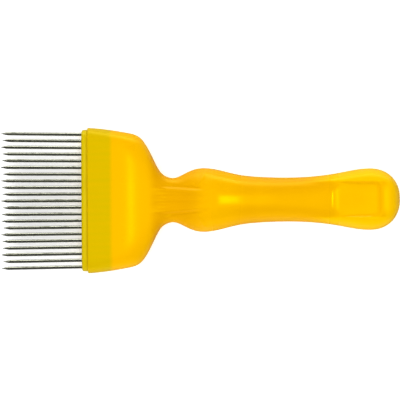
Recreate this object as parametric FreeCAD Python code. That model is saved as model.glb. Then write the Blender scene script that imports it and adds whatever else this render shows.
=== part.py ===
# Uncapping fork for honeycomb: a hollow handle in two shells, a needle block in the
# mouth of its head, and one row of steel needles.
#
# Frame: +X runs from the needle tips towards the end of the handle, +Y across the head,
# and +Z up through the front face, with the tool lying on its back. The origin is at
# the height of the table, under the middle of the whole length. All sizes are in mm.
import FreeCAD, Part
import math
import os

# --- Needles -----------------------------------------------------------------
NEEDLE_COUNT = 21
NEEDLE_DIAMETER = 1.6
NEEDLE_PITCH = 3.23          # between axes, at the face of the block's nose
NEEDLE_EXPOSED = 39.8        # from the nose's face to the longest tip
NEEDLE_FAN_DEG = 0.85        # splay of the outermost needles
NEEDLE_ROOT = 11.4           # held in the block, on the needle set deepest
NEEDLE_STAGGER = 1.1         # spread of the depths at which the needles are set
STAGGER_TURN = 2.4           # radians from one needle to the next in that spread
POINT_LENGTH = 3.4           # ground cone
POINT_TIP_RADIUS = 0.08

# --- Needle block ------------------------------------------------------------
EDGE_MARGIN = 3.2            # outermost needle's axis to the side of the head's mouth
BLOCK_THICKNESS = 8.0        # of the tongue inside the mouth
TONGUE_DEPTH = 11.7
TONGUE_CORNER = 3.5
NOSE_LENGTH = 2.9            # stands out of the mouth
NOSE_STEP = 1.0              # from the mouth's outer edge in to the nose's side
NOSE_CORNER = 3.6
NOSE_ROUND = 1.2
BEAD_HEIGHT = 0.6            # retaining bead across the tongue
BEAD_WIDTH = 1.4
BEAD_FROM_END = 3.0
BEAD_SIDE_GAP = 5.0
SEAT_CLEARANCE = 0.1
SEAT_SIDE_WALL = 1.1         # of the shells, beside the tongue
CORNER_LIMIT = 0.9           # largest corner radius, as a share of a bar's half height

# --- Handle, along its length ------------------------------------------------
HEAD_LENGTH = 19.5           # mouth to the ridge across the head
CORNER_LENGTH = 3.0          # ridge to the rounded corners of the head
SHOULDER_TOP = 7.0           # ridge to the top of the shoulder
SHOULDER_LENGTH = 22.5       # ridge to the neck
SHOULDER_MID = 10.7          # steepest part of the shoulder, before the neck
SHOULDER_FOOT = 6.8          # foot of the shoulder, before the neck
NECK_RUN = 3.4               # straight run into the neck
PALM_RISE = 14.6             # neck to the widest part of the palm bulge
PALM_FOOT = 8.7              # where the bulge begins to swell, before its widest part
PALM_SWELL = 3.9             # where it is nearly full, before its widest part
PALM_CREST_SHIFT = 5.0       # the bulge is highest a little beyond its widest part
PALM_FALL = 10.8             # where the bulge falls away most steeply, after its widest part
PALM_TAPER = 16.6            # end of the bulge, after its widest part
GRIP_START = 28.3            # start of the slim grip, after the widest part of the bulge
WAIST_FROM_PALM = 42.0
FLARE_TO_TAIL = 15.6         # where the tail is half flared, before its widest part
GRIP_LENGTH = 81.0           # widest part of the palm bulge to the widest part of the tail
TAIL_LENGTH = 14.7           # widest part of the tail to the end

# --- Handle, half widths -----------------------------------------------------
RIDGE_DRAW_IN = 2.55         # the head narrows by this much from mouth to ridge
CORNER_DRAW_IN = 3.25        # and by this much to its corners
SHOULDER_TOP_DRAW_IN = 5.7   # and by this much to the tops of its shoulders
SHOULDER_HALF = 21.9
SHOULDER_FOOT_HALF = 14.35
NECK_RUN_HALF = 11.55
NECK_HALF = 10.85
PALM_FOOT_HALF = 13.2
PALM_SWELL_HALF = 15.1
PALM_HALF = 15.55
PALM_TAPER_HALF = 12.4
GRIP_START_HALF = 11.1
WAIST_HALF = 10.75
FLARE_HALF = 12.8
TAIL_HALF = 15.0
MOUTH_SLOPE = -0.05          # of the outline, where it leaves the mouth
END_POWER = 2.2              # roundness of the end, seen from the front

# --- Handle, heights above and depths below the parting plane ----------------
WALL = 1.8
RIDGE_LIFT = 1.8             # ridge above the mouth's front edge
NECK_HEIGHT = 4.9
PALM_HEIGHT = 10.0
FALL_HEIGHT = 9.71
TAPER_HEIGHT = 9.29
GRIP_START_HEIGHT = 8.78
WAIST_HEIGHT = 8.48
RIM_HEIGHT = 9.0
NECK_DEPTH = 4.5
PALM_DEPTH = 5.5
WAIST_DEPTH = 4.3
FRONT_SLOPE = 0.10           # of the head's front face, where it leaves the mouth
REST_CUT = 0.12              # planed off the back, for its flat rests
END_TOP_POWER = 6.0          # roundness of the end, seen from the side

# --- Fullness of the cross-sections: 2 is an ellipse, more is squarer --------
MOUTH_FULLNESS = 12.0
RIDGE_FULLNESS = 9.0
NECK_FULLNESS = 2.7
PALM_FULLNESS = 2.4
WAIST_FULLNESS = 3.0
TAIL_FULLNESS = 4.6

# --- Thumb recess in the tail ------------------------------------------------
RECESS_HALF_WIDTH = 8.4
RECESS_DEPTH = 1.8           # below the rim
RECESS_BEFORE_TAIL = 17.4    # start of its ramp, before the widest part of the tail
RECESS_RAMP = 8.0
RECESS_AFTER_TAIL = 4.6      # its far wall, after the widest part of the tail
RECESS_CORNER = 3.2
RECESS_FILLET = 1.0

# --- Inside the shells -------------------------------------------------------
END_WALL = 3.6               # at the round end, along X
RIB = 1.6
BOSS_RADIUS = 3.2
PEG_RADIUS = 1.5
PEG_LENGTH = 2.6
PEG_CLEARANCE = 0.1
HEAD_PEG_OFFSET = 18.0       # from the middle, across the head
PALM_RIB_AFTER = 9.0         # cross rib, after the widest part of the palm bulge
GRIP_RIB_SPACING = 17.0

# --- How finely the handle's form is followed --------------------------------
STATION_SPACING = 4.0
END_STATIONS = 6
END_FACE_TURN = math.radians(80)
RING_POINTS = 28

# --- Places that follow from the sizes above ---------------------------------
MOUTH_HALF = NEEDLE_PITCH * (NEEDLE_COUNT - 1) / 2 + EDGE_MARGIN
MOUTH_HEIGHT = BLOCK_THICKNESS / 2 + SEAT_CLEARANCE + WALL
PARTING_Z = MOUTH_HEIGHT
HANDLE_LENGTH = HEAD_LENGTH + SHOULDER_LENGTH + PALM_RISE + GRIP_LENGTH + TAIL_LENGTH
TIP_X = -(NEEDLE_EXPOSED + NOSE_LENGTH + HANDLE_LENGTH) / 2
NOSE_X = TIP_X + NEEDLE_EXPOSED
MOUTH_X = NOSE_X + NOSE_LENGTH
TONGUE_X = MOUTH_X + TONGUE_DEPTH
RIDGE_X = MOUTH_X + HEAD_LENGTH
NECK_X = RIDGE_X + SHOULDER_LENGTH
PALM_X = NECK_X + PALM_RISE
TAIL_X = PALM_X + GRIP_LENGTH
END_X = TAIL_X + TAIL_LENGTH
RIM_Z = PARTING_Z + RIM_HEIGHT
REACH = END_X - TIP_X        # long enough for any cutting block
TINY = 0.01                  # for picking edges by where they lie


def smooth_profile(stations, start_slope, end_slope):
    """Return the smooth curve through (place, size) stations, with its slopes at both ends."""
    places = [place for place, size in stations]
    sizes = [size for place, size in stations]
    spans = [b - a for a, b in zip(places, places[1:])]
    rises = [(b - a) / span for a, b, span in zip(sizes, sizes[1:], spans)]
    # Slopes that keep the curvature continuous: forward elimination, then back substitution.
    weights = [0.0]
    slopes = [start_slope]
    for i in range(1, len(spans)):
        pivot = 2 * (spans[i - 1] + spans[i]) - spans[i] * weights[-1]
        target = 3 * (spans[i] * rises[i - 1] + spans[i - 1] * rises[i])
        slopes.append((target - spans[i] * slopes[-1]) / pivot)
        weights.append(spans[i - 1] / pivot)
    slopes.append(end_slope)
    for i in range(len(spans) - 1, 0, -1):
        slopes[i] -= weights[i] * slopes[i + 1]

    def size_at(place):
        last = len(spans) - 1
        i = next((k for k in range(last) if place <= places[k + 1]), last)
        span = spans[i]
        t = (place - places[i]) / span
        start = (1 + 2 * t) * (1 - t) ** 2 * sizes[i] + t * (1 - t) ** 2 * span * slopes[i]
        end = t * t * (3 - 2 * t) * sizes[i + 1] + t * t * (t - 1) * span * slopes[i + 1]
        return start + end

    return size_at


half_width_at = smooth_profile(
    [
        (MOUTH_X, MOUTH_HALF),
        (RIDGE_X, MOUTH_HALF - RIDGE_DRAW_IN),
        (RIDGE_X + CORNER_LENGTH, MOUTH_HALF - CORNER_DRAW_IN),
        (RIDGE_X + SHOULDER_TOP, MOUTH_HALF - SHOULDER_TOP_DRAW_IN),
        (NECK_X - SHOULDER_MID, SHOULDER_HALF),
        (NECK_X - SHOULDER_FOOT, SHOULDER_FOOT_HALF),
        (NECK_X - NECK_RUN, NECK_RUN_HALF),
        (NECK_X, NECK_HALF),
        (PALM_X - PALM_FOOT, PALM_FOOT_HALF),
        (PALM_X - PALM_SWELL, PALM_SWELL_HALF),
        (PALM_X, PALM_HALF),
        (PALM_X + PALM_TAPER, PALM_TAPER_HALF),
        (PALM_X + GRIP_START, GRIP_START_HALF),
        (PALM_X + WAIST_FROM_PALM, WAIST_HALF),
        (TAIL_X - FLARE_TO_TAIL, FLARE_HALF),
        (TAIL_X, TAIL_HALF),
    ],
    MOUTH_SLOPE,
    0.0,
)

height_at = smooth_profile(
    [
        (MOUTH_X, MOUTH_HEIGHT),
        (RIDGE_X, MOUTH_HEIGHT + RIDGE_LIFT),
        (NECK_X, NECK_HEIGHT),
        (PALM_X + PALM_CREST_SHIFT, PALM_HEIGHT),
        (PALM_X + PALM_FALL, FALL_HEIGHT),
        (PALM_X + PALM_TAPER, TAPER_HEIGHT),
        (PALM_X + GRIP_START, GRIP_START_HEIGHT),
        (PALM_X + WAIST_FROM_PALM, WAIST_HEIGHT),
        (TAIL_X - RECESS_BEFORE_TAIL, RIM_HEIGHT),
        (TAIL_X, RIM_HEIGHT),
    ],
    FRONT_SLOPE,
    0.0,
)

depth_at = smooth_profile(
    [
        (MOUTH_X, PARTING_Z + REST_CUT),
        (RIDGE_X, PARTING_Z + REST_CUT),
        (NECK_X, NECK_DEPTH),
        (PALM_X, PALM_DEPTH),
        (PALM_X + WAIST_FROM_PALM, WAIST_DEPTH),
        (TAIL_X, PARTING_Z + REST_CUT),
    ],
    0.0,
    0.0,
)

fullness_at = smooth_profile(
    [
        (MOUTH_X, MOUTH_FULLNESS),
        (RIDGE_X, RIDGE_FULLNESS),
        (NECK_X, NECK_FULLNESS),
        (PALM_X, PALM_FULLNESS),
        (PALM_X + WAIST_FROM_PALM, WAIST_FULLNESS),
        (TAIL_X, TAIL_FULLNESS),
    ],
    0.0,
    0.0,
)


def end_shrink(x):
    """Return how far the width and the height are drawn in by the round end, from 1 to 0."""
    t = max(0.0, (x - TAIL_X) / TAIL_LENGTH) * math.sin(END_FACE_TURN)
    return (1 - t ** END_POWER) ** (1 / END_POWER), math.sqrt(1 - t ** END_TOP_POWER)


def ring(x, inset):
    """Return the closed cross-section of the handle at x, drawn in by inset all round."""
    place = min(x, TAIL_X)
    width_share, height_share = end_shrink(x)
    half_width = half_width_at(place) * width_share - inset
    height = height_at(place) * height_share - inset
    depth = depth_at(place) * height_share - inset
    fullness = fullness_at(place)
    points = []
    for i in range(RING_POINTS):
        turn = 2 * math.pi * (i + 0.5) / RING_POINTS
        across = math.sin(turn)
        rise = math.sqrt(1 - abs(across) ** fullness)
        reach = height if math.cos(turn) > 0 else -depth
        points.append(FreeCAD.Vector(x, half_width * across, PARTING_Z + reach * rise))
    # Every ring has the same knots, so that the form through the rings stays light.
    curve = Part.BSplineCurve()
    curve.interpolate(Points=points, PeriodicFlag=True, Parameters=list(range(RING_POINTS + 1)))
    return Part.Wire([curve.toShape()])


def stations(start, end):
    """Return evenly spaced places from start to end, about STATION_SPACING apart."""
    count = max(2, round((end - start) / STATION_SPACING))
    return [start + (end - start) * i / count for i in range(count + 1)]


def end_stations(end):
    """Return places beyond the widest part of the tail that crowd towards the round end."""
    reach = (end - TAIL_X) / TAIL_LENGTH * math.sin(END_FACE_TURN)
    turns = [math.asin(reach) * (i + 1) / END_STATIONS for i in range(END_STATIONS)]
    return [TAIL_X + TAIL_LENGTH * math.sin(turn) / math.sin(END_FACE_TURN) for turn in turns]


def handle_form(start, end, inset):
    """Return the handle's form from start to end as one solid, drawn in by inset."""
    places = stations(start, TAIL_X) + end_stations(end)
    return Part.makeLoft([ring(x, inset) for x in places], True, False)


def block_between(low, high):
    """Return the box between two opposite corners."""
    size = high - low
    return Part.makeBox(size.x, size.y, size.z, low)


def level_band(bottom, top):
    """Return a box over the whole tool between two heights."""
    return block_between(FreeCAD.Vector(-REACH, -REACH, bottom), FreeCAD.Vector(REACH, REACH, top))


def round_bar(start, end, start_half_width, end_half_width, half_height, corner):
    """Return a tapering bar along X, centred on the parting plane, with its long edges rounded."""
    outline = [
        (start, -start_half_width),
        (end, -end_half_width),
        (end, end_half_width),
        (start, start_half_width),
    ]
    corners = [FreeCAD.Vector(x, y, PARTING_Z - half_height) for x, y in outline]
    plan = Part.Face(Part.makePolygon(corners + corners[:1]))
    bar = plan.extrude(FreeCAD.Vector(0, 0, 2 * half_height))
    long_edges = [edge for edge in bar.Edges if edge.BoundBox.XLength > (end - start) / 2]
    return bar.makeFillet(min(corner, CORNER_LIMIT * half_height), long_edges)


def recess_tool(margin):
    """Return the space of the thumb recess, grown by margin on its floor, ramp and walls."""
    start = TAIL_X - RECESS_BEFORE_TAIL - margin
    end = TAIL_X + RECESS_AFTER_TAIL + margin
    floor = RIM_Z - RECESS_DEPTH - margin
    top = RIM_Z + RECESS_DEPTH
    half_width = RECESS_HALF_WIDTH + margin
    slope = RECESS_DEPTH / RECESS_RAMP
    outline = [
        (start - (top - RIM_Z) / slope, top),
        (start + (RIM_Z - floor) / slope, floor),
        (end, floor),
        (end, top),
    ]
    corners = [FreeCAD.Vector(x, -half_width, z) for x, z in outline]
    side = Part.Face(Part.makePolygon(corners + corners[:1]))
    tool = side.extrude(FreeCAD.Vector(0, 2 * half_width, 0))
    upright = [e for e in tool.Edges if e.BoundBox.ZLength > RECESS_DEPTH and e.BoundBox.XLength < TINY]
    tool = tool.makeFillet(RECESS_CORNER + margin, upright)
    foot = [e for e in tool.Edges if e.BoundBox.ZMax < floor + TINY and e.BoundBox.XMax > TAIL_X]
    return tool.makeFillet(RECESS_FILLET + margin, foot)


def tongue(margin):
    """Return the block's tongue with its retaining bead, grown by margin all round."""
    side_gap = SEAT_SIDE_WALL + SEAT_CLEARANCE - margin
    half_width = half_width_at(TONGUE_X) - side_gap
    half_height = BLOCK_THICKNESS / 2
    body = round_bar(
        MOUTH_X,
        TONGUE_X + margin,
        MOUTH_HALF - side_gap,
        half_width,
        half_height + margin,
        TONGUE_CORNER + margin,
    )
    bead_x = TONGUE_X - BEAD_FROM_END
    half_bead = BEAD_WIDTH / 2 + margin
    bead_side = half_width - BEAD_SIDE_GAP
    bead_reach = half_height + BEAD_HEIGHT + margin
    bead = block_between(
        FreeCAD.Vector(bead_x - half_bead, -bead_side, PARTING_Z - bead_reach),
        FreeCAD.Vector(bead_x + half_bead, bead_side, PARTING_Z + bead_reach),
    )
    return body.fuse(bead).removeSplitter()


def needle(index):
    """Return needle number index, counted from 0 at the -Y side, in its place."""
    place = index - (NEEDLE_COUNT - 1) / 2
    set_back = NEEDLE_STAGGER * (1 - math.cos(STAGGER_TURN * place)) / 2
    radius = NEEDLE_DIAMETER / 2
    shank = NEEDLE_EXPOSED - POINT_LENGTH + NEEDLE_ROOT - NEEDLE_STAGGER
    forward = FreeCAD.Vector(-1, 0, 0)
    root = FreeCAD.Vector(NEEDLE_ROOT - NEEDLE_STAGGER + set_back, 0, 0)
    shank_end = root + forward * shank
    rod = Part.makeCylinder(radius, shank, root, forward)
    point = Part.makeCone(radius, POINT_TIP_RADIUS, POINT_LENGTH, shank_end, forward)
    solid = rod.fuse(point).removeSplitter()
    fan = -NEEDLE_FAN_DEG * place * 2 / (NEEDLE_COUNT - 1)
    solid.rotate(FreeCAD.Vector(0, 0, 0), FreeCAD.Vector(0, 0, 1), fan)
    solid.translate(FreeCAD.Vector(NOSE_X, NEEDLE_PITCH * place, PARTING_Z))
    return solid


def needle_block(needles):
    """Return the block: nose, tongue and bead, moulded around the needles' roots."""
    half_width = MOUTH_HALF - NOSE_STEP
    nose = round_bar(NOSE_X, MOUTH_X, half_width, half_width, MOUTH_HEIGHT - NOSE_STEP, NOSE_CORNER)
    front = [edge for edge in nose.Edges if edge.BoundBox.XMax < NOSE_X + TINY]
    nose = nose.makeFillet(NOSE_ROUND, front)
    return nose.fuse(tongue(0.0)).cut(needles).removeSplitter()


def upright_cylinder(x, y, bottom, top, radius):
    """Return a cylinder standing at (x, y) between two heights."""
    return Part.makeCylinder(radius, top - bottom, FreeCAD.Vector(x, y, bottom))


def peg_places():
    """Return the (x, y) places of the locating pegs."""
    head_x = RIDGE_X + RIB
    grip_x = PALM_X + WAIST_FROM_PALM
    return [(head_x, -HEAD_PEG_OFFSET), (head_x, HEAD_PEG_OFFSET), (PALM_X, 0.0), (grip_x, 0.0)]


def cavity():
    """Return the hollow inside the handle, with its ribs and bosses left standing."""
    start = TONGUE_X + SEAT_CLEARANCE + RIB
    space = handle_form(start, END_X - END_WALL, WALL).cut(recess_tool(WALL))
    rib_places = [PALM_X + PALM_RIB_AFTER]
    grip_rib = rib_places[0] + GRIP_RIB_SPACING
    while grip_rib < TAIL_X - RECESS_BEFORE_TAIL:
        rib_places.append(grip_rib)
        grip_rib += GRIP_RIB_SPACING
    ribs = [
        block_between(FreeCAD.Vector(x, -REACH, -REACH), FreeCAD.Vector(x + RIB, REACH, REACH))
        for x in rib_places
    ]
    bosses = [upright_cylinder(x, y, -REACH, REACH, BOSS_RADIUS) for x, y in peg_places()]
    return space.cut(ribs + bosses)


def handle_shells():
    """Return the front and rear shells of the handle."""
    whole = handle_form(MOUTH_X, END_X, 0.0).cut(recess_tool(0.0))
    hollow = whole.cut([tongue(SEAT_CLEARANCE), cavity()])
    front = hollow.common(level_band(PARTING_Z, PARTING_Z + REACH))
    rear = hollow.common(level_band(0.0, PARTING_Z))
    pegs = [
        upright_cylinder(x, y, PARTING_Z - PEG_LENGTH, PARTING_Z + PEG_LENGTH, PEG_RADIUS)
        for x, y in peg_places()
    ]
    socket_depth = PEG_LENGTH + PEG_CLEARANCE
    sockets = [
        upright_cylinder(x, y, PARTING_Z - socket_depth, PARTING_Z, PEG_RADIUS + PEG_CLEARANCE)
        for x, y in peg_places()
    ]
    return front.fuse(pegs), rear.cut(sockets)


def only_solid(shape):
    """Return the one solid that a shape holds."""
    solids = shape.Solids
    if len(solids) != 1:
        raise ValueError(f"expected one solid, found {len(solids)}")
    return solids[0]


def build():
    """Return every piece of the tool by its node name."""
    needles = [needle(i) for i in range(NEEDLE_COUNT)]
    front_shell, rear_shell = handle_shells()
    pieces = {f"needle_{i + 1:02d}": solid for i, solid in enumerate(needles)}
    pieces["needle_block"] = needle_block(needles)
    pieces["front_shell"] = front_shell
    pieces["rear_shell"] = rear_shell
    return pieces


os.makedirs("parts", exist_ok=True)
for name, shape in build().items():
    solid = only_solid(shape)
    solid.exportStep(f"parts/{name}.step")
    box = solid.BoundBox
    print(f"{name}: valid {solid.isValid()}, x {box.XMin:.2f}..{box.XMax:.2f}, "
          f"y {box.YMin:.2f}..{box.YMax:.2f}, z {box.ZMin:.2f}..{box.ZMax:.2f}, "
          f"volume {solid.Volume:.0f}")
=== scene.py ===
"""The looks of an uncapping fork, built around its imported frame.

The frame holds the fork at its real size: +X towards the end of the handle, +Y across the
head, +Z up through the front face. The handle's two shells, the needle block and the
needles are rebuilt here as fine meshes in the same places, and get procedural finishes.
"""

import logging
import math
from collections.abc import Callable, Iterable, Sequence
from dataclasses import dataclass, field
from enum import Enum

import bmesh
import bpy
import numpy as np
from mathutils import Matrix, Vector


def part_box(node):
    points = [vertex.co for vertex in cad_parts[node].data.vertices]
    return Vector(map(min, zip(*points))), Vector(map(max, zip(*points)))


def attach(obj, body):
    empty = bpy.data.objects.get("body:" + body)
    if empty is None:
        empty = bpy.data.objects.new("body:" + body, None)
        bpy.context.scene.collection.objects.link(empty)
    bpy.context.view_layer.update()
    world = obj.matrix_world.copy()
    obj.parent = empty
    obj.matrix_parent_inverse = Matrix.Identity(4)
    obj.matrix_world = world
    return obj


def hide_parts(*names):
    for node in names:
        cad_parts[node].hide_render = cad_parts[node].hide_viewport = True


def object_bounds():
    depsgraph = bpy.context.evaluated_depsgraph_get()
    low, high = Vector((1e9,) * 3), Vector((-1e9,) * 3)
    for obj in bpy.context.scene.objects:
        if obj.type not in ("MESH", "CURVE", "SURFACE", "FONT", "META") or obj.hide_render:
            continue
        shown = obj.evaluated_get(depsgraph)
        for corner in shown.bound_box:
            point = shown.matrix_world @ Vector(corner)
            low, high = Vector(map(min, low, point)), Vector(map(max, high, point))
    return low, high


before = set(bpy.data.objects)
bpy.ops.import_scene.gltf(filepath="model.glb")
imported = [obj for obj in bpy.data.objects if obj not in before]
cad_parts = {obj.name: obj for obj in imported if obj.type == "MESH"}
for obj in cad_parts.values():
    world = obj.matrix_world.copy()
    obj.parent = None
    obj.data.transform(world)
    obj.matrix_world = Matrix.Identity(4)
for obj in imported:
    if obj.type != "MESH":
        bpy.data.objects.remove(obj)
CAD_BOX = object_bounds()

MM = 0.001
log = logging.getLogger("uncapping_fork")

Point = tuple[float, float, float]
Colour = tuple[float, float, float, float]
Span = tuple[float, float]


class Body(Enum):
    """The rigid bodies of the fork: it has no joints, so there is only one."""

    WHOLE = "root"


class Slot(Enum):
    """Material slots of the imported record."""

    HANDLE = "handle_plastic"
    BLOCK = "block_plastic"
    NEEDLES = "needle_steel"


# --- Shader graphs -------------------------------------------------------------------


class Value:
    """A number that varies over a surface: wraps a socket, so that Python maths adds Math nodes."""

    def __init__(self, graph: "Graph", socket: bpy.types.NodeSocket) -> None:
        """Keep the graph and the socket that carries the number."""
        self.graph = graph
        self.socket = socket

    def _math(self, operation: str, first: object, second: object = None) -> "Value":
        """Add one Math node.

        Args:
            operation: the node's operation.
            first: its first value or link.
            second: its second value or link, if it has one.

        Returns:
            The node's result.
        """
        inputs = {0: first} if second is None else {0: first, 1: second}
        return self.graph.node("ShaderNodeMath", {"operation": operation}, inputs).value("Value")

    def __add__(self, other: object) -> "Value":
        """Return self + other."""
        return self._math("ADD", self, other)

    __radd__ = __add__

    def __mul__(self, other: object) -> "Value":
        """Return self * other."""
        return self._math("MULTIPLY", self, other)

    __rmul__ = __mul__

    def __sub__(self, other: object) -> "Value":
        """Return self - other."""
        return self._math("SUBTRACT", self, other)

    def __rsub__(self, other: object) -> "Value":
        """Return other - self."""
        return self._math("SUBTRACT", other, self)

    def __abs__(self) -> "Value":
        """Return the size of self without its sign."""
        return self._math("ABSOLUTE", self)

    def step(self, low: float, high: float) -> "Value":
        """Rise smoothly from 0 to 1 as self goes from low to high.

        Args:
            low: where the rise starts.
            high: where it ends.

        Returns:
            The rise, clamped to 0 and 1 outside that range.
        """
        inputs = {"Value": self, "From Min": low, "From Max": high}
        settings = {"interpolation_type": "SMOOTHSTEP", "clamp": True}
        return self.graph.node("ShaderNodeMapRange", settings, inputs).value("Result")


class Made:
    """A node that has been added, whose outputs are read by name."""

    def __init__(self, graph: "Graph", node: bpy.types.Node) -> None:
        """Keep the graph and the node."""
        self.graph = graph
        self.node = node

    def value(self, output: str) -> Value:
        """Return one output, ready for maths."""
        return Value(self.graph, self.node.outputs[output])

    def socket(self, output: str | int) -> bpy.types.NodeSocket:
        """Return one output's socket."""
        return self.node.outputs[output]


class Graph:
    """The node tree of one material, with a Principled shader at its end."""

    def __init__(self, name: str) -> None:
        """Make the material and its two end nodes.

        Args:
            name: the material's name.
        """
        self.material = bpy.data.materials.new(name)
        self.material.use_nodes = True
        self.tree = self.material.node_tree
        self.tree.nodes.clear()
        output = self.tree.nodes.new("ShaderNodeOutputMaterial")
        self.shader = self.tree.nodes.new("ShaderNodeBsdfPrincipled")
        self.tree.links.new(self.shader.outputs["BSDF"], output.inputs["Surface"])

    def node(self, kind: str, settings: dict[str, object], inputs: dict[object, object]) -> Made:
        """Add any node.

        Args:
            kind: the node's type.
            settings: its properties, set first.
            inputs: values or links for its sockets, by name or number.

        Returns:
            The node, whose outputs can be read.
        """
        node = self.tree.nodes.new(kind)
        for name, setting in settings.items():
            setattr(node, name, setting)
        for key, given in inputs.items():
            self.feed(node.inputs[key], given)
        return Made(self, node)

    def feed(self, target: bpy.types.NodeSocket, given: object) -> None:
        """Set a socket to a value, or link something into it.

        Args:
            target: the socket.
            given: a Value, a socket, or a plain value.
        """
        if isinstance(given, Value):
            self.tree.links.new(given.socket, target)
        elif isinstance(given, bpy.types.NodeSocket):
            self.tree.links.new(given, target)
        else:
            target.default_value = given

    def place(self) -> dict[str, Value]:
        """Return the x, y and z of the surface in the fork's own frame, in millimetres."""
        where = self.node("ShaderNodeTexCoord", {}, {}).socket("Object")
        scaled = self.node("ShaderNodeVectorMath", {"operation": "SCALE"}, {0: where, "Scale": 1 / MM})
        split = self.node("ShaderNodeSeparateXYZ", {}, {"Vector": scaled.socket("Vector")})
        return {"x": split.value("X"), "y": split.value("Y"), "z": split.value("Z")}

    def noise(self, size: float, detail: float = 2.0, stretch: Point = (1.0, 1.0, 1.0)) -> Value:
        """Add soft noise whose blotches are about size millimetres across.

        Args:
            size: blotch size in millimetres.
            detail: how many finer octaves are added.
            stretch: how many times longer the blotches are along X, Y and Z.

        Returns:
            The noise, around 0.5.
        """
        where = self.node("ShaderNodeTexCoord", {}, {}).socket("Object")
        scale = tuple(1 / (MM * size * share) for share in stretch)
        placed = self.node("ShaderNodeMapping", {}, {"Vector": where, "Scale": scale})
        inputs = {"Vector": placed.socket("Vector"), "Scale": 1.0, "Detail": detail, "Roughness": 0.5}
        return self.node("ShaderNodeTexNoise", {}, inputs).value("Fac")

    def mix(self, share: object, first: object, second: object) -> bpy.types.NodeSocket:
        """Mix two colours.

        Args:
            share: how much of the second, from 0 to 1.
            first: a colour or a link.
            second: a colour or a link.

        Returns:
            The mixed colour's socket.
        """
        made = self.node("ShaderNodeMix", {"data_type": "RGBA"}, {0: share, 6: first, 7: second})
        return made.socket(2)

    def bump(self, height: Value, distance: float, strength: float) -> bpy.types.NodeSocket:
        """Turn a height into a bent normal.

        Args:
            height: the height, from 0 to 1.
            distance: what a height of 1 means, in millimetres.
            strength: how much of the bend is kept.

        Returns:
            The normal's socket.
        """
        inputs = {"Height": height, "Distance": distance * MM, "Strength": strength}
        return self.node("ShaderNodeBump", {}, inputs).socket("Normal")

    def finish(self, inputs: dict[str, object]) -> bpy.types.Material:
        """Set the shader's own sockets and return the material."""
        for name, given in inputs.items():
            self.feed(self.shader.inputs[name], given)
        return self.material


# --- Finishes ------------------------------------------------------------------------


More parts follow.
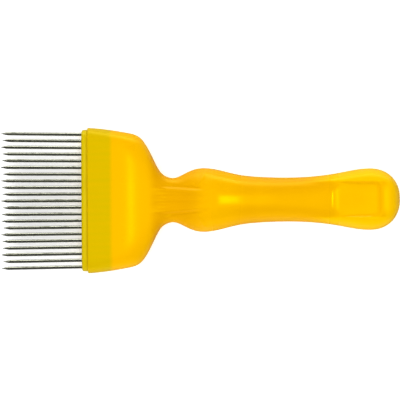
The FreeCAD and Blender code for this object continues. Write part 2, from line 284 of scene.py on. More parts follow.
@dataclass(frozen=True)
class HandlePlastic:
    """Glossy yellow plastic of the handle, with painted shade and painted highlights in its colour along
    the handle, a painted glow on the tail's rim and a darker, greener tint over the head.

    Spans are (start, end) distances in millimetres over which a tint or a polish comes in.
    """

    name: str
    tongue_x: float
    ridge_x: float
    palm_x: float
    tail_x: float
    pitch: float
    yellow: Colour = (0.92, 0.470, 0.0, 1.0)
    orange_tone_and_shade: Colour = (0.800, 0.374, 0.0, 1.0)
    head_tint: Colour = (0.650, 0.445, 0.0, 1.0)
    glint: Colour = (1.0, 0.80, 0.0, 1.0)
    rim: Colour = (1.0, 0.60, 0.0, 1.0)
    edge_worn: Colour = (1.0, 0.52, 0.03, 1.0)
    roughness: float = 0.32
    polish_depth: float = 0.10
    tint_softness: float = 1.6
    shoulder_after_ridge: Span = (8.0, 15.0)
    crest_after_palm: float = 7.0
    crest_fade: Span = (4.0, 18.0)
    crest_share: float = 0.75
    grip_after_palm: Span = (12.0, 28.0)
    grip_share: float = 0.45
    recess_before_tail: Span = (20.0, 16.0)
    recess_share: float = 0.30
    polish_after_palm: float = 11.0
    palm_fade: Span = (4.0, 10.0)
    polish_before_tail: float = 17.8
    ramp_fade: Span = (1.0, 3.5)
    ramp_share: float = 1.4
    polish_after_ridge: float = 0.5
    ridge_fade: Span = (3.0, 7.0)
    ridge_share: float = 0.45
    rim_side: Span = (8.0, 9.2)
    rim_before_tail: Span = (34.0, 16.0)
    rim_after_tail: Span = (6.0, 8.5)
    rim_side_share: float = 0.8
    rim_end_share: float = 0.7

    def build(self) -> bpy.types.Material:
        """Return the material."""
        graph = Graph(self.name)
        place = graph.place()
        blotches = graph.noise(22.0, 3.0)
        flow = graph.noise(3.5, 2.0, stretch=(9.0, 1.0, 1.0))
        grain = graph.noise(0.45, 2.0)
        # warm mixes painted shade and painted highlight along the handle with random tone from the blotches
        # and the flow streaks
        shade_and_tone = self._painted_shade_places(place["x"]) + (blotches - 0.5) * 0.5 + (flow - 0.5) * 0.25
        # painted shade: the +Y side of the handle is painted a little more orange
        shade_and_tone = shade_and_tone + place["y"] * 0.006
        polished = self._polished_places(place["x"])
        body = graph.mix(shade_and_tone.step(-0.05, 1.05), self.yellow, self.orange_tone_and_shade)
        # painted glow: the tail's rim is painted a lighter yellow
        body = graph.mix(self._rim_glow_places(place) * 0.8, body, self.rim)
        # a darker, greener tint over the head, from the mouth to the tongue's end, with faint stripes at
        # the needle pitch
        body = graph.mix(self._head_tint_places(graph, place, flow), body, self.head_tint)
        rub = graph.noise(1.3, 3.0).step(0.60, 0.78)
        edges = self._worn_edges(graph) * rub * 0.5
        colour = graph.mix(edges, body, self.edge_worn)
        scratches = graph.noise(0.30, 3.0, stretch=(30.0, 1.0, 1.0)).step(0.62, 0.80)
        rough = self.roughness - polished * self.polish_depth
        rough = rough + (blotches - 0.5) * 0.10 + scratches * 0.06 + edges * 0.25
        height = grain * 0.35 + flow * 0.5 + scratches * 0.15
        inputs = {
            "Base Color": colour,
            "Roughness": rough,
            "Normal": graph.bump(height, 0.03, 0.5),
            "IOR": 1.46,
            "Specular Tint": self.glint,
        }
        return graph.finish(inputs)

    def _painted_shade_places(self, x: Value) -> Value:
        """Return the painted shade along the handle: more orange on the shoulder, the neck and the grip,
        and lighter as painted highlight on the palm crest and the recess floor.

        Args:
            x: place along the handle, in millimetres.

        Returns:
            The painted shade, from 0 to 1.
        """
        # painted shade on the shoulder, neck and grip; painted highlight on the palm crest and the recess
        # floor
        shoulder = self._rise(x, self.ridge_x, self.shoulder_after_ridge)
        crest = self._patch(x, self.palm_x + self.crest_after_palm, self.crest_fade)
        grip = self._rise(x, self.palm_x, self.grip_after_palm) * self.grip_share
        recess = self._run_up(x, self.tail_x, self.recess_before_tail)
        return shoulder - crest * self.crest_share - grip - recess * self.recess_share

    @staticmethod
    def _rise(x: Value, origin: float, span: Span) -> Value:
        """Return a rise from 0 to 1 over a span that is measured onwards from origin."""
        return x.step(origin + span[0], origin + span[1])

    @staticmethod
    def _run_up(x: Value, origin: float, span: Span) -> Value:
        """Return a rise from 0 to 1 over a span that is measured back from origin."""
        return x.step(origin - span[0], origin - span[1])

    @staticmethod
    def _patch(x: Value, middle: float, fade: Span) -> Value:
        """Return 1 around middle, falling to 0 over the fade on either side."""
        return 1 - abs(x - middle).step(*fade)

    def _polished_places(self, x: Value) -> Value:
        """Return where the plastic is smoother: the ridge, the palm bulge and the start of the recess.

        Args:
            x: place along the handle, in millimetres.

        Returns:
            The polish, from 0 to 1.
        """
        palm = self._patch(x, self.palm_x + self.polish_after_palm, self.palm_fade)
        ramp = self._patch(x, self.tail_x - self.polish_before_tail, self.ramp_fade)
        ridge = self._patch(x, self.ridge_x + self.polish_after_ridge, self.ridge_fade)
        return palm + ramp * self.ramp_share + ridge * self.ridge_share

    def _rim_glow_places(self, place: dict[str, Value]) -> Value:
        """Return the painted glow on the tail's rim round the recess, from 0 to 1.

        Args:
            place: the surface's place in millimetres.

        Returns:
            The share of the rim's painted glow.
        """
        along = self._run_up(place["x"], self.tail_x, self.rim_before_tail)
        sides = abs(place["y"]).step(*self.rim_side) * along
        end = self._rise(place["x"], self.tail_x, self.rim_after_tail)
        return sides * self.rim_side_share + end * (1 - sides) * self.rim_end_share

    def _head_tint_places(self, graph: Graph, place: dict[str, Value], flow: Value) -> Value:
        """Return the darker, greener tint over the head from the mouth to the tongue's end, with faint
        stripes at the needle pitch.

        Args:
            graph: the material's graph.
            place: the surface's place in millimetres.
            flow: the streaks of the moulding.

        Returns:
            The share of the head's tint, from 0 to 1.
        """
        soft = self.tint_softness
        inside = 1 - place["x"].step(self.tongue_x - soft, self.tongue_x + soft)
        turn = place["y"] * (2 * math.pi / self.pitch)
        stripes = graph.node("ShaderNodeMath", {"operation": "COSINE"}, {0: turn}).value("Value")
        return inside * (0.92 + stripes * 0.035 + (flow - 0.5) * 0.25)

    @staticmethod
    def _worn_edges(graph: Graph) -> Value:
        """Return where the surface is sharply convex, from 0 to 1."""
        pointiness = graph.node("ShaderNodeNewGeometry", {}, {}).value("Pointiness")
        return pointiness.step(0.53, 0.62)


@dataclass(frozen=True)
class BlockPlastic:
    """Lemon-yellow plastic of the needle block, with fine mould marks, blotchy tone and painted shade on
    the nose's face where the needles leave it.
    """

    name: str
    nose_x: float
    lemon: Colour = (0.640, 0.470, 0.001, 1.0)
    deep: Colour = (0.530, 0.370, 0.0006, 1.0)
    glint: Colour = (1.0, 0.88, 0.10, 1.0)

    def build(self) -> bpy.types.Material:
        """Return the material."""
        graph = Graph(self.name)
        place = graph.place()
        blotches = graph.noise(6.0, 3.0)
        grain = graph.noise(0.35, 2.0)
        # painted shade: the nose's face, where the needles leave it, is painted a deeper yellow
        face = 1 - place["x"].step(self.nose_x, self.nose_x + 0.9)
        share = (blotches - 0.35) * 0.9 + face * 0.35
        colour = graph.mix(share.step(0.0, 1.0), self.lemon, self.deep)
        inputs = {
            "Base Color": colour,
            "Roughness": 0.34 + (blotches - 0.5) * 0.15,
            "Normal": graph.bump(grain, 0.02, 0.5),
            "IOR": 1.46,
            "Specular Tint": self.glint,
        }
        return graph.finish(inputs)


@dataclass(frozen=True)
class NeedleSteel:
    """Bright drawn steel wire with a ground point, lightly stained where honey and wax cling."""

    name: str
    tip_x: float
    point_length: float
    bright: Colour = (0.52, 0.53, 0.42, 1.0)
    stained: Colour = (0.11, 0.12, 0.05, 1.0)

    def build(self) -> bpy.types.Material:
        """Return the material."""
        graph = Graph(self.name)
        place = graph.place()
        drawn = graph.noise(0.10, 2.0, stretch=(60.0, 1.0, 1.0))
        stain = graph.noise(1.1, 3.0, stretch=(5.0, 1.0, 1.0)).step(0.52, 0.72)
        specks = graph.noise(0.6, 2.0, stretch=(2.5, 1.0, 1.0)).step(0.66, 0.74)
        ground = 1 - place["x"].step(self.tip_x + self.point_length, self.tip_x + self.point_length + 0.8)
        colour = graph.mix(stain * 0.55 + specks * 0.4, self.bright, self.stained)
        inputs = {
            "Base Color": colour,
            "Metallic": 1.0,
            "Roughness": 0.11 + drawn * 0.06 + stain * 0.12 + ground * 0.10,
            "Normal": graph.bump(drawn, 0.008, 0.5),
        }
        return graph.finish(inputs)


@dataclass(frozen=True)
class FloorPaper:
    """Plain white paper under the fork, lit a little from behind like a light table."""

    name: str = "floor_paper"
    white: Colour = (0.93, 0.93, 0.93, 1.0)
    glow: float = 0.45

    def build(self) -> bpy.types.Material:
        """Return the material."""
        graph = Graph(self.name)
        fibre = graph.noise(1.5, 3.0)
        colour = graph.mix(fibre * 0.25, self.white, (0.90, 0.90, 0.90, 1.0))
        inputs = {
            "Base Color": colour,
            "Roughness": 0.85,
            "Emission Color": self.white,
            "Emission Strength": self.glow,
        }
        return graph.finish(inputs)


# --- Form ----------------------------------------------------------------------------


def smooth_profile(
    stations: Sequence[tuple[float, float]], start_slope: float, end_slope: float
) -> Callable[[np.ndarray], np.ndarray]:
    """Fit the smoothest curve through a few stations.

    Args:
        stations: (place, size) pairs along the handle, in millimetres.
        start_slope: slope at the first station.
        end_slope: slope at the last station.

    Returns:
        A function that gives the size at any place, for arrays as well.
    """
    places, sizes = (np.array(column, float) for column in zip(*stations))
    spans, last = np.diff(places), len(places) - 1
    rises = np.diff(sizes) / spans
    system, target = np.eye(last + 1), np.zeros(last + 1)
    target[0], target[last] = start_slope, end_slope
    for i in range(1, last):
        system[i, i - 1 : i + 2] = spans[i], 2 * (spans[i - 1] + spans[i]), spans[i - 1]
        target[i] = 3 * (spans[i] * rises[i - 1] + spans[i - 1] * rises[i])
    slopes = np.linalg.solve(system, target)

    def size_at(place: np.ndarray) -> np.ndarray:
        """Return the size at each place."""
        i = np.clip(np.searchsorted(places, place) - 1, 0, last - 1)
        t = (place - places[i]) / spans[i]
        start = (1 + 2 * t) * (1 - t) ** 2 * sizes[i] + t * (1 - t) ** 2 * spans[i] * slopes[i]
        end = t * t * (3 - 2 * t) * sizes[i + 1] + t * t * (t - 1) * spans[i] * slopes[i + 1]
        return start + end

    return size_at


def ease(value: np.ndarray) -> np.ndarray:
    """Return a smooth rise from 0 to 1 as value goes from 0 to 1."""
    clipped = np.clip(value, 0.0, 1.0)
    return clipped * clipped * (3 - 2 * clipped)


def bell(value: np.ndarray) -> np.ndarray:
    """Return a smooth bump of height 1 and unit half width around 0."""
    return np.exp(-value * value)


@dataclass
class HandleForm:
    """Outline, heights and fullness of the handle, in millimetres, as the frame's shells have them."""

    mouth_x: float
    end_x: float
    mouth_half: float
    parting_z: float
    head_length: float = 19.5
    corner_length: float = 3.0
    shoulder_top: float = 7.0
    shoulder_length: float = 22.5
    shoulder_mid: float = 10.7
    shoulder_foot: float = 6.8
    neck_run: float = 3.4
    palm_rise: float = 14.6
    palm_foot: float = 8.7
    palm_swell: float = 3.9
    palm_crest_shift: float = 5.0
    palm_fall: float = 10.8
    palm_taper: float = 16.6
    grip_start: float = 28.3
    waist_from_palm: float = 42.0
    flare_to_tail: float = 15.6
    tail_length: float = 14.7
    rim_start: float = 17.4
    ridge_draw_in: float = 2.55
    corner_draw_in: float = 3.25
    shoulder_top_draw_in: float = 5.7
    shoulder_half: float = 21.9
    shoulder_foot_half: float = 14.35
    neck_run_half: float = 11.55
    neck_half: float = 10.85
    palm_foot_half: float = 13.2
    palm_swell_half: float = 15.1
    palm_half: float = 15.55
    palm_taper_half: float = 12.4
    grip_start_half: float = 11.1
    waist_half: float = 10.75
    flare_half: float = 12.8
    tail_half: float = 15.0
    mouth_slope: float = -0.05
    ridge_lift: float = 1.8
    neck_height: float = 4.9
    palm_height: float = 10.0
    fall_height: float = 9.71
    taper_height: float = 9.29
    grip_start_height: float = 8.78
    waist_height: float = 8.48
    rim_height: float = 9.0
    front_slope: float = 0.10
    rest_cut: float = 0.12
    neck_depth: float = 4.5
    palm_depth: float = 5.5
    waist_depth: float = 4.3
    mouth_fullness: float = 12.0
    ridge_fullness: float = 9.0
    neck_fullness: float = 2.7
    palm_fullness: float = 2.4
    waist_fullness: float = 3.0
    tail_fullness: float = 4.6
    end_power: float = 2.2
    end_top_power: float = 6.0

    def __post_init__(self) -> None:
        """Work out the stations and fit the curves through them."""
        self.ridge_x = self.mouth_x + self.head_length
        self.neck_x = self.ridge_x + self.shoulder_length
        self.palm_x = self.neck_x + self.palm_rise
        self.tail_x = self.end_x - self.tail_length
        self.half_width = smooth_profile(self._widths(), self.mouth_slope, 0.0)
        self.height = smooth_profile(self._heights(), self.front_slope, 0.0)
        self.depth = smooth_profile(self._depths(), 0.0, 0.0)
        self.fullness = smooth_profile(self._fullnesses(), 0.0, 0.0)

    def _widths(self) -> list[tuple[float, float]]:
        """Return the (place, half width) stations of the outline."""
        ridge, neck, half = self.ridge_x, self.neck_x, self.mouth_half
        palm, tail = self.palm_x, self.tail_x
        return [
            (self.mouth_x, half),
            (ridge, half - self.ridge_draw_in),
            (ridge + self.corner_length, half - self.corner_draw_in),
            (ridge + self.shoulder_top, half - self.shoulder_top_draw_in),
            (neck - self.shoulder_mid, self.shoulder_half),
            (neck - self.shoulder_foot, self.shoulder_foot_half),
            (neck - self.neck_run, self.neck_run_half),
            (neck, self.neck_half),
            (palm - self.palm_foot, self.palm_foot_half),
            (palm - self.palm_swell, self.palm_swell_half),
            (palm, self.palm_half),
            (palm + self.palm_taper, self.palm_taper_half),
            (palm + self.grip_start, self.grip_start_half),
            (palm + self.waist_from_palm, self.waist_half),
            (tail - self.flare_to_tail, self.flare_half),
            (tail, self.tail_half),
        ]

    def _heights(self) -> list[tuple[float, float]]:
        """Return the (place, height above the parting plane) stations of the front."""
        palm = self.palm_x
        return [
            (self.mouth_x, self.parting_z),
            (self.ridge_x, self.parting_z + self.ridge_lift),
            (self.neck_x, self.neck_height),
            (palm + self.palm_crest_shift, self.palm_height),
            (palm + self.palm_fall, self.fall_height),
            (palm + self.palm_taper, self.taper_height),
            (palm + self.grip_start, self.grip_start_height),
            (palm + self.waist_from_palm, self.waist_height),
            (self.tail_x - self.rim_start, self.rim_height),
            (self.tail_x, self.rim_height),
        ]

    def _depths(self) -> list[tuple[float, float]]:
        """Return the (place, depth below the parting plane) stations of the back."""
        rest = self.parting_z + self.rest_cut
        return [
            (self.mouth_x, rest),
            (self.ridge_x, rest),
            (self.neck_x, self.neck_depth),
            (self.palm_x, self.palm_depth),
            (self.palm_x + self.waist_from_palm, self.waist_depth),
            (self.tail_x, rest),
        ]

    def _fullnesses(self) -> list[tuple[float, float]]:
        """Return the (place, squareness of the section) stations; 2 is an ellipse."""
        return [
            (self.mouth_x, self.mouth_fullness),
            (self.ridge_x, self.ridge_fullness),
            (self.neck_x, self.neck_fullness),
            (self.palm_x, self.palm_fullness),
            (self.palm_x + self.waist_from_palm, self.waist_fullness),
            (self.tail_x, self.tail_fullness),
        ]

    def end_shares(self, x: np.ndarray) -> tuple[np.ndarray, np.ndarray]:
        """Return how far the round end draws in the width and the height at x."""
        t = np.clip((x - self.tail_x) / self.tail_length, 0.0, 1.0)
        return (1 - t**self.end_power) ** (1 / self.end_power), np.sqrt(1 - t**self.end_top_power)

    def places(self, step: float, end: float) -> np.ndarray:
        """Return stations from the mouth to the end of the handle.

        Args:
            step: spacing along the straight part.
            end: where the last station lies.

        Returns:
            The stations, crowded towards the round end.
        """
        straight = np.linspace(self.mouth_x, self.tail_x, round((self.tail_x - self.mouth_x) / step))
        reach = end - self.tail_x
        turns = np.linspace(0, math.pi / 2, max(8, round(reach * 1.6 / step)))[1:]
        return np.concatenate([straight, self.tail_x + reach * np.sin(turns)])

    def surface(
        self, x: np.ndarray, turn: np.ndarray, inset: np.ndarray | float, front: bool
    ) -> np.ndarray:
        """Return points of the plain form.

        Args:
            x: stations, one per row.
            turn: angle across the section, from -90 to 90 degrees in radians.
            inset: how far the section is drawn in all round.
            front: the front side if true, the back if not.

        Returns:
            An array of points, shaped rows by columns by 3.
        """
        wide, tall = self.end_shares(x)
        place = np.minimum(x, self.tail_x)
        across = np.sin(turn)
        reach = self.height(place) if front else -self.depth(place)
        half = np.maximum(self.half_width(place) * wide - inset, 0.0)
        rise = np.sqrt(np.maximum(1 - np.abs(across) ** self.fullness(place), 0.0))
        high = np.sign(reach) * np.maximum(np.abs(reach) * tall - inset, 0.0)
        y = half * across
        z = self.parting_z + high * rise
        return np.stack([np.broadcast_to(x, y.shape), y, z], axis=-1)


# --- Meshes --------------------------------------------------------------------------


def add_piece(
    name: str, points: np.ndarray, faces: Iterable[Sequence[int]], sharp_deg: float
) -> bpy.types.Object:
    """Make a closed, smooth-shaded mesh object.

    Args:
        name: the object's name.
        points: vertex places in millimetres.
        faces: vertex numbers of each face.
        sharp_deg: edges bent by more than this stay sharp.

    Returns:
        The new object, at the frame's origin.
    """
    mesh = bpy.data.meshes.new(name)
    mesh.from_pydata((points * MM).tolist(), [], [list(face) for face in faces])
    piece = bpy.data.objects.new(name, mesh)
    bpy.context.scene.collection.objects.link(piece)
    clean_mesh(mesh)
    mesh.shade_smooth()
    mesh.set_sharp_from_angle(angle=math.radians(sharp_deg))
    return piece


def clean_mesh(mesh: bpy.types.Mesh) -> None:
    """Weld points that coincide, drop faces without area, and turn all faces outwards."""
    work = bmesh.new()
    work.from_mesh(mesh)
    bmesh.ops.remove_doubles(work, verts=work.verts, dist=0.002 * MM)
    bmesh.ops.dissolve_degenerate(work, edges=work.edges, dist=0.001 * MM)
    bmesh.ops.recalc_face_normals(work, faces=work.faces)
    work.to_mesh(mesh)
    work.free()
    mesh.validate()


def grid_faces(rows: int, columns: int, first: int, closed: bool = False) -> list[tuple[int, ...]]:
    """Return the quads of a grid of points numbered row by row.

    Args:
        rows: number of rows.
        columns: number of points in a row.
        first: number of the first point.
        closed: whether each row joins up with its own start.

    Returns:
        The faces.
    """
    across = columns if closed else columns - 1
    return [
        (
            first + i * columns + j,
            first + i * columns + (j + 1) % columns,
            first + (i + 1) * columns + (j + 1) % columns,
            first + (i + 1) * columns + j,
        )
        for i in range(rows - 1)
        for j in range(across)
    ]


def rim_faces(outer: np.ndarray, inner: np.ndarray, stride: int) -> list[tuple[int, ...]]:
    """Join a finely divided edge to a coarser one that runs beside it.

    Args:
        outer: point numbers along the fine edge.
        inner: point numbers along the coarse edge, one for every stride steps.
        stride: fine steps to a coarse one.

    Returns:
        One flat face for each coarse step.
    """
    faces = []
    for k in range(len(inner) - 1):
        fine = outer[k * stride : (k + 1) * stride + 1]
        faces.append((*fine.tolist(), int(inner[k + 1]), int(inner[k])))
    return faces


@dataclass
class Shell:
    """One moulded half of the handle, closed: outer skin, inner skin and the rim between them."""

    form: HandleForm
    front: bool
    finish: bpy.types.Material
    step: float = 0.55
    across: int = 128
    wall: float = 1.8
    stride: int = 4
    lip_radius: float = 0.45
    lip_rows: int = 4
    lip_height: float = 0.12
    lip_place: float = 0.55
    lip_width: float = 0.45
    seam_gap: float = 0.10
    seam_round: float = 0.35
    recess_half: float = 8.4
    recess_depth: float = 1.3
    recess_ramp: float = 14.0
    recess_before: float = 18.6
    recess_after: float = 4.6
    recess_corner: float = 3.2
    recess_side_soft: float = 1.1
    recess_far_soft: float = 2.8
    front_blend: float = 3.0
    channel_depth: float = 0.5
    channel_from_palm: float = 40.0
    channel_soft: float = 2.4

    @property
    def name(self) -> str:
        """Return the piece's name."""
        return "front_shell_skin" if self.front else "rear_shell_skin"

    @property
    def node(self) -> str:
        """Return the frame's node that this piece stands for."""
        return "front_shell" if self.front else "rear_shell"

    def turns(self) -> np.ndarray:
        """Return the angles across a section, with extra rows where the halves meet."""
        near = np.array([0.0, 0.22, 0.55, 1.0])
        edge = math.pi / 2 - np.radians(near)
        count = self.across - 2 * len(near)
        inner = np.linspace(-math.pi / 2, math.pi / 2, count + 3)[1:-1]
        inner = inner[np.abs(inner) < math.radians(88.6)]
        turns = np.concatenate([-edge, inner, edge[::-1]])
        spare = (len(turns) - 1) % self.stride
        middle = len(turns) // 2
        return np.delete(turns, [middle - spare // 2 + k for k in range(spare)])

    def stations(self) -> tuple[np.ndarray, np.ndarray]:
        """Return the rows' places and insets: the rounded lip of the mouth, then the length."""
        swing = np.linspace(math.pi / 2, 0, self.lip_rows + 1)
        lip_x = self.form.mouth_x + self.lip_radius * (1 - np.sin(swing))
        lip_inset = self.lip_radius * (1 - np.cos(swing))
        rest = self.form.places(self.step, self.form.end_x)
        rest = rest[rest > lip_x[-1] + self.step / 3]
        x = np.concatenate([lip_x, rest])
        inset = np.concatenate([lip_inset, np.zeros(len(rest))])
        spare = (len(x) - 1) % self.stride
        drop = [len(lip_x) + 8 + 3 * k for k in range(spare)]
        return np.delete(x, drop), np.delete(inset, drop)

    def recess_mask(self, x: np.ndarray, y: np.ndarray) -> np.ndarray:
        """Return how deep in the thumb recess each point is, from 0 to 1."""
        end = self.form.tail_x + self.recess_after
        start = self.form.tail_x - self.recess_before
        along = x - (end - self.recess_corner)
        beside = np.abs(y) - (self.recess_half - self.recess_corner)
        outside = np.hypot(np.maximum(along, 0), np.maximum(beside, 0))
        distance = outside + np.minimum(np.maximum(along, beside), 0) - self.recess_corner
        far = ease(1 + along / self.recess_corner)
        soft = self.recess_side_soft + (self.recess_far_soft - self.recess_side_soft) * far
        walls = ease(0.5 - distance / soft)
        share = np.clip((x - start) / self.recess_ramp, 0.0, 1.0)
        return walls * (1 - (1 - share) ** 3)

    def channel(self, x: np.ndarray, y: np.ndarray) -> np.ndarray:
        """Return the depth of the shallow channel that runs up the grip into the recess."""
        start = self.form.palm_x + self.channel_from_palm
        end = self.form.tail_x - self.recess_before
        grows = ease((x - start) / (end - start)) * (1 - ease((x - end) / self.recess_ramp))
        sides = ease(0.5 + (self.recess_half - np.abs(y)) / self.channel_soft)
        return self.channel_depth * grows * sides

    def thumb_flutes(self, x: np.ndarray, y: np.ndarray) -> np.ndarray:
        """Return the low ridges and flutes in the thumb valley, above the plain form."""
        share = (x - (self.form.neck_x - 7.0)) / (self.form.palm_x + 4.0 - (self.form.neck_x - 7.0))
        strength = ease((share + 0.20) / 0.45) * (1 - ease((share - 0.62) / 0.42))
        crest = 5.4 - 1.9 * np.clip(share, 0, 1)
        flute = crest + 1.75
        side = np.abs(y)
        ridges = 0.42 * bell((side - crest) / 1.05) - 0.42 * bell((side - flute) / 0.85)
        middle = -0.30 * bell((side - 1.5) / 1.0)
        shoulder_x = self.form.palm_x - 3.2 + 0.55 * (side - 6.4)
        across = ease((side - 5.6) / 1.5) * (1 - ease((side - 12.2) / 2.0))
        crease = 0.34 * bell((x - shoulder_x) / 0.9) * across
        pip = 0.10 * bell(np.hypot(x - (self.form.palm_x - 3.9), y) / 0.8)
        return (ridges + middle) * strength + crease + pip

    def outer(self, turns: np.ndarray) -> np.ndarray:
        """Return the outer skin's points."""
        x, inset = self.stations()
        gap = np.abs(np.abs(turns) - math.pi / 2)
        fullness = self.form.fullness(np.minimum(x, self.form.tail_x))[:, None]
        tall = (self.form.height if self.front else self.form.depth)(np.minimum(x, self.form.tail_x))
        rise = gap[None, :] * np.sqrt(fullness / 2) * tall[:, None]
        seam = self.seam_gap * (1 - ease(rise / self.seam_round)) * self.form.end_shares(x)[0][:, None]
        points = self.form.surface(x[:, None], turns[None, :], inset[:, None] + seam, self.front)
        if self.front:
            self.shape_front(points)
        else:
            points[..., 2] = np.maximum(points[..., 2], 0.0)
        return points

    def shape_front(self, points: np.ndarray) -> None:
        """Work the recess, the channel, the flutes and the mouth's lip into the front skin."""
        x, y, z = (points[..., axis] for axis in range(3))
        above = ease((z - self.form.parting_z) / self.front_blend)
        z += above * (self.thumb_flutes(x, y) - self.channel(x, y))
        lip = bell((x - self.form.mouth_x - self.lip_place) / self.lip_width)
        z += above * self.lip_height * lip
        floor = self.form.parting_z + self.form.rim_height - self.recess_depth
        mask = self.recess_mask(x, y)
        z += mask * (floor - z)

    def inner(self, turns: np.ndarray) -> np.ndarray:
        """Return the inner skin's points, one for every few of the outer skin."""
        x, _ = self.stations()
        end = self.form.end_x - 2 * self.wall
        x = self.form.mouth_x + (x[:: self.stride] - self.form.mouth_x) * (
            (end - self.form.mouth_x) / (self.form.end_x - self.form.mouth_x)
        )
        wide = np.full(len(x), self.wall)
        points = self.form.surface(x[:, None], turns[None, :: self.stride], wide[:, None], self.front)
        if self.front:
            mask = self.recess_mask(points[..., 0], points[..., 1])
            above = ease((points[..., 2] - self.form.parting_z) / self.front_blend)
            points[..., 2] -= mask * self.recess_depth * above
        return points

    def build(self) -> bpy.types.Object:
        """Make the shell and set it in place of its node."""
        turns = self.turns()
        outer, inner = self.outer(turns), self.inner(turns)
        rows, columns = outer.shape[:2]
        coarse_rows, coarse_columns = inner.shape[:2]
        first = rows * columns
        out_ids = np.arange(first).reshape(rows, columns)
        in_ids = first + np.arange(coarse_rows * coarse_columns).reshape(coarse_rows, coarse_columns)
        faces = grid_faces(rows, columns, 0)
        faces += grid_faces(coarse_rows, coarse_columns, first)
        faces += rim_faces(out_ids[0], in_ids[0], self.stride)
        faces += rim_faces(out_ids[-1], in_ids[-1], self.stride)
        faces += rim_faces(out_ids[:, 0], in_ids[:, 0], self.stride)
        faces += rim_faces(out_ids[:, -1], in_ids[:, -1], self.stride)
        points = np.concatenate([outer.reshape(-1, 3), inner.reshape(-1, 3)])
        piece = add_piece(self.name, points, faces, 35.0)
        piece.data.materials.append(self.finish)
        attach(piece, Body.WHOLE.value)
        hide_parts(self.node)
        return piece


@dataclass
class NeedleBlock:
    """The block in the mouth: a rounded nose with a dimple at each needle, and its tongue."""

    form: HandleForm
    nose_x: float
    tongue_x: float
    finish: bpy.types.Material
    needle_places: Sequence[float]
    needle_radius: float = 0.8
    nose_step: float = 1.0
    round_radius: float = 1.1
    round_rows: int = 7
    around: int = 720
    dimple_radius: float = 1.35
    dimple_depth: float = 0.40
    tongue_step: float = 1.95
    tongue_taper: float = 1.2

    def ring(self, x: float, inset: float) -> np.ndarray:
        """Return the closed section at x, drawn in by inset from the mouth's outline."""
        turns = np.linspace(-math.pi / 2, math.pi / 2, self.around // 2 + 1)
        place = np.array([[self.form.mouth_x]])
        top = self.form.surface(place, turns[None, :], inset, True)[0]
        bottom = self.form.surface(place, turns[None, ::-1], inset, False)[0]
        ring = np.concatenate([top[:-1], bottom[:-1]])
        ring[:, 0] = x
        return ring

    def dimples(self, points: np.ndarray) -> np.ndarray:
        """Return how far each point of the nose's face sinks around the needles."""
        sink = np.zeros(points.shape[:-1])
        for place in self.needle_places:
            reach = np.hypot(points[..., 1] - place, points[..., 2] - self.form.parting_z)
            share = 1 - ease((reach - self.needle_radius) / self.dimple_radius)
            sink = np.maximum(sink, self.dimple_depth * share)
        return sink

    def build(self) -> bpy.types.Object:
        """Make the block and set it in place of its node."""
        half_height = self.form.parting_z - self.nose_step
        insets = self.nose_step + np.linspace(half_height, self.round_radius, 14)
        rings = [self.ring(self.nose_x, inset) for inset in insets]
        for swing in np.linspace(math.pi / 2, 0, self.round_rows + 1)[1:]:
            inset = self.nose_step + self.round_radius * (1 - math.cos(swing))
            rings.append(self.ring(self.nose_x + self.round_radius * (1 - math.sin(swing)), inset))
        rings.append(self.ring(self.form.mouth_x - 0.15, self.nose_step))
        rings.append(self.ring(self.form.mouth_x - 0.02, self.nose_step + 0.12))
        rings.append(self.ring(self.form.mouth_x, self.tongue_step))
        rings.append(self.ring(self.tongue_x - 0.4, self.tongue_step + self.tongue_taper))
        rings.append(self.ring(self.tongue_x, self.tongue_step + self.tongue_taper + 0.4))
        rings.append(self.ring(self.tongue_x, self.form.parting_z))
        points = np.array(rings)
        face = len(insets) + self.round_rows
        points[:face, :, 0] += self.dimples(points[:face])
        faces = grid_faces(len(rings), points.shape[1], 0, closed=True)
        piece = add_piece("needle_block_moulding", points.reshape(-1, 3), faces, 50.0)
        piece.data.materials.append(self.finish)
        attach(piece, Body.WHOLE.value)
        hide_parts("needle_block")
        return piece


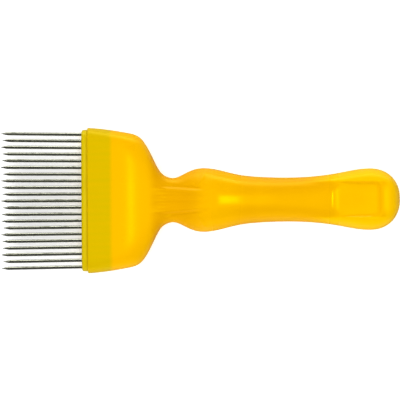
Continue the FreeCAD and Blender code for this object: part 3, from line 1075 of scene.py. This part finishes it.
@dataclass
class Needles:
    """The row of needles: straight wire with slim ground points, slightly fanned."""

    nose_x: float
    axis_z: float
    count: int = 21
    pitch: float = 3.23
    fan_deg: float = 0.85
    radius: float = 0.8
    point_length: float = 3.4
    tip_radius: float = 0.05
    sides: int = 28
    rows: int = 26

    def place(self, index: int) -> float:
        """Return where needle number index leaves the block, across the head."""
        return self.pitch * (index - (self.count - 1) / 2)

    def outline(self, length: float) -> list[tuple[float, float]]:
        """Return the needle's outline as distances from its tip and radii.

        Args:
            length: the needle's whole length.

        Returns:
            (distance, radius) pairs from the tip to the root.
        """
        taper = np.linspace(0.0, 1.0, 9)
        swell = self.tip_radius + (self.radius - self.tip_radius) * (1.12 * taper - 0.12 * taper**3)
        outline = [(0.0, 0.0), (0.02, self.tip_radius * 0.7)]
        outline += list(zip(self.point_length * taper + 0.06, swell))
        shank = np.linspace(self.point_length + 0.5, length - 0.2, self.rows)
        outline += [(along, self.radius) for along in shank]
        outline += [(length, self.radius - 0.15), (length, 0.0)]
        return outline

    def build_one(self, index: int, finish: bpy.types.Material) -> bpy.types.Object:
        """Make one needle and set it in place of its node.

        Args:
            index: the needle's number, from 0 at the -Y side.
            finish: its material.

        Returns:
            The needle.
        """
        node = f"needle_{index + 1:02d}"
        low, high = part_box(node)
        tip_x, root_x = low.x / MM, high.x / MM
        fan = math.radians(self.fan_deg) * (2 * index / (self.count - 1) - 1)
        angles = np.linspace(0, 2 * math.pi, self.sides, endpoint=False)
        rings = []
        for along, radius in self.outline((root_x - tip_x) / math.cos(fan)):
            x = tip_x + along * math.cos(fan)
            y = self.place(index) + (self.nose_x - x) * math.tan(fan)
            ring = np.empty((self.sides, 3))
            ring[:, 0] = x
            ring[:, 1] = y + radius * np.cos(angles)
            ring[:, 2] = self.axis_z + radius * np.sin(angles)
            rings.append(ring)
        faces = grid_faces(len(rings), self.sides, 0, closed=True)
        piece = add_piece(f"{node}_wire", np.concatenate(rings), faces, 60.0)
        piece.data.materials.append(finish)
        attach(piece, Body.WHOLE.value)
        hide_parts(node)
        return piece

    def build(self, finish: bpy.types.Material) -> list[bpy.types.Object]:
        """Make all the needles."""
        return [self.build_one(index, finish) for index in range(self.count)]


# --- Studio --------------------------------------------------------------------------


@dataclass(frozen=True)
class SoftBox:
    """One rectangular studio light; one that isn't glossy lights surfaces but isn't reflected."""

    name: str
    place: Point
    aim: Point
    size: tuple[float, float]
    power: float
    glossy: bool = True

    def build(self) -> bpy.types.Object:
        """Make the light and point it at its aim."""
        light = bpy.data.lights.new(self.name, "AREA")
        light.shape = "RECTANGLE"
        light.size, light.size_y = self.size
        light.energy = self.power
        lamp = bpy.data.objects.new(self.name, light)
        lamp.location = self.place
        lamp.visible_glossy = self.glossy
        turn = Vector(self.aim) - Vector(self.place)
        lamp.rotation_euler = turn.to_track_quat("-Z", "Y").to_euler()
        bpy.context.scene.collection.objects.link(lamp)
        return lamp


@dataclass
class Studio:
    """A pale floor, soft lights and a camera that looks straight down on the front face."""

    low: Vector
    high: Vector
    parting: float
    floor_half: float = 1.6
    floor_gap: float = 0.0002
    camera_height: float = 1.2
    sensor_mm: float = 36.0
    side_margin: float = 0.0001
    roll_deg: float = -0.3
    sky: float = 0.09
    boxes: tuple[SoftBox, ...] = field(
        default_factory=lambda: (
            SoftBox("key_softbox", (0.80, 0.02, 4.0), (0.0, 0.0, 0.0), (0.30, 0.45), 22.0),
            SoftBox("overhead_softbox", (-0.60, 0.0, 1.9), (0.0, 0.0, 0.0), (1.8, 2.0), 27.0, glossy=False),
            SoftBox("far_softbox", (0.0, 1.7, 0.60), (0.0, 0.0, 0.0), (2.4, 0.7), 24.0),
            SoftBox("near_softbox", (0.0, -1.6, 0.80), (0.0, 0.0, 0.0), (2.4, 0.8), 20.0, glossy=False),
        )
    )

    def floor(self) -> None:
        """Lay the floor under the fork."""
        half = self.floor_half
        mesh = bpy.data.meshes.new("floor")
        corners = [(-half, -half, 0.0), (half, -half, 0.0), (half, half, 0.0), (-half, half, 0.0)]
        mesh.from_pydata(corners, [], [(0, 1, 2, 3)])
        floor = bpy.data.objects.new("floor", mesh)
        floor.location.z = self.low.z - self.floor_gap
        bpy.context.scene.collection.objects.link(floor)
        mesh.materials.append(FloorPaper().build())
        floor.visible_glossy = False

    def camera(self) -> None:
        """Set the camera over the middle of the fork, filling the frame with its length."""
        width = self.high.x - self.low.x + 2 * self.side_margin
        distance = self.camera_height - self.parting
        data = bpy.data.cameras.new("camera")
        data.sensor_width = self.sensor_mm
        data.lens = self.sensor_mm * distance / width
        camera = bpy.data.objects.new("camera", data)
        camera.location = (
            (self.low.x + self.high.x) / 2,
            (self.low.y + self.high.y) / 2,
            self.camera_height,
        )
        camera.rotation_euler = (0.0, 0.0, math.radians(self.roll_deg))
        bpy.context.scene.collection.objects.link(camera)
        bpy.context.scene.camera = camera

    def world(self) -> None:
        """Fill in with an even, dim white sky."""
        world = bpy.data.worlds.new("studio")
        world.use_nodes = True
        background = world.node_tree.nodes["Background"]
        background.inputs["Color"].default_value = (1.0, 1.0, 1.0, 1.0)
        background.inputs["Strength"].default_value = self.sky
        bpy.context.scene.world = world
        bpy.context.scene.view_settings.view_transform = "Standard"

    def build(self) -> None:
        """Build the whole studio."""
        self.floor()
        self.camera()
        self.world()
        for box in self.boxes:
            box.build()


def main() -> None:
    """Build every sub-assembly in order, then the studio, and report each piece."""
    logging.basicConfig(level=logging.INFO, format="%(name)s: %(message)s")
    shell_low, shell_high = (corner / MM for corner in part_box("front_shell"))
    block_low, block_high = (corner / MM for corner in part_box("needle_block"))
    needle_low, needle_high = (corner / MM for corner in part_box("needle_11"))
    parting_z = (needle_low.z + needle_high.z) / 2
    form = HandleForm(shell_low.x, shell_high.x, shell_high.y, parting_z)
    needles = Needles(block_low.x, parting_z)
    handle = HandlePlastic(
        "handle_plastic_moulded", block_high.x, form.ridge_x, form.palm_x, form.tail_x, needles.pitch
    ).build()
    for front in (True, False):
        shell = Shell(form, front, handle)
        piece = shell.build()
        log.info("%s stands for %s with %d faces", piece.name, shell.node, len(piece.data.polygons))
    steel = NeedleSteel("drawn_steel", CAD_BOX[0].x / MM, needles.point_length).build()
    places = [needles.place(index) for index in range(needles.count)]
    lemon = BlockPlastic("block_plastic_moulded", block_low.x).build()
    block = NeedleBlock(form, block_low.x, block_high.x, lemon, places).build()
    log.info("%s stands for needle_block with %d faces", block.name, len(block.data.polygons))
    for wire in needles.build(steel):
        log.info("%s with %d faces", wire.name, len(wire.data.polygons))
    Studio(CAD_BOX[0], CAD_BOX[1], parting_z * MM).build()


if __name__ == "__main__":
    main()
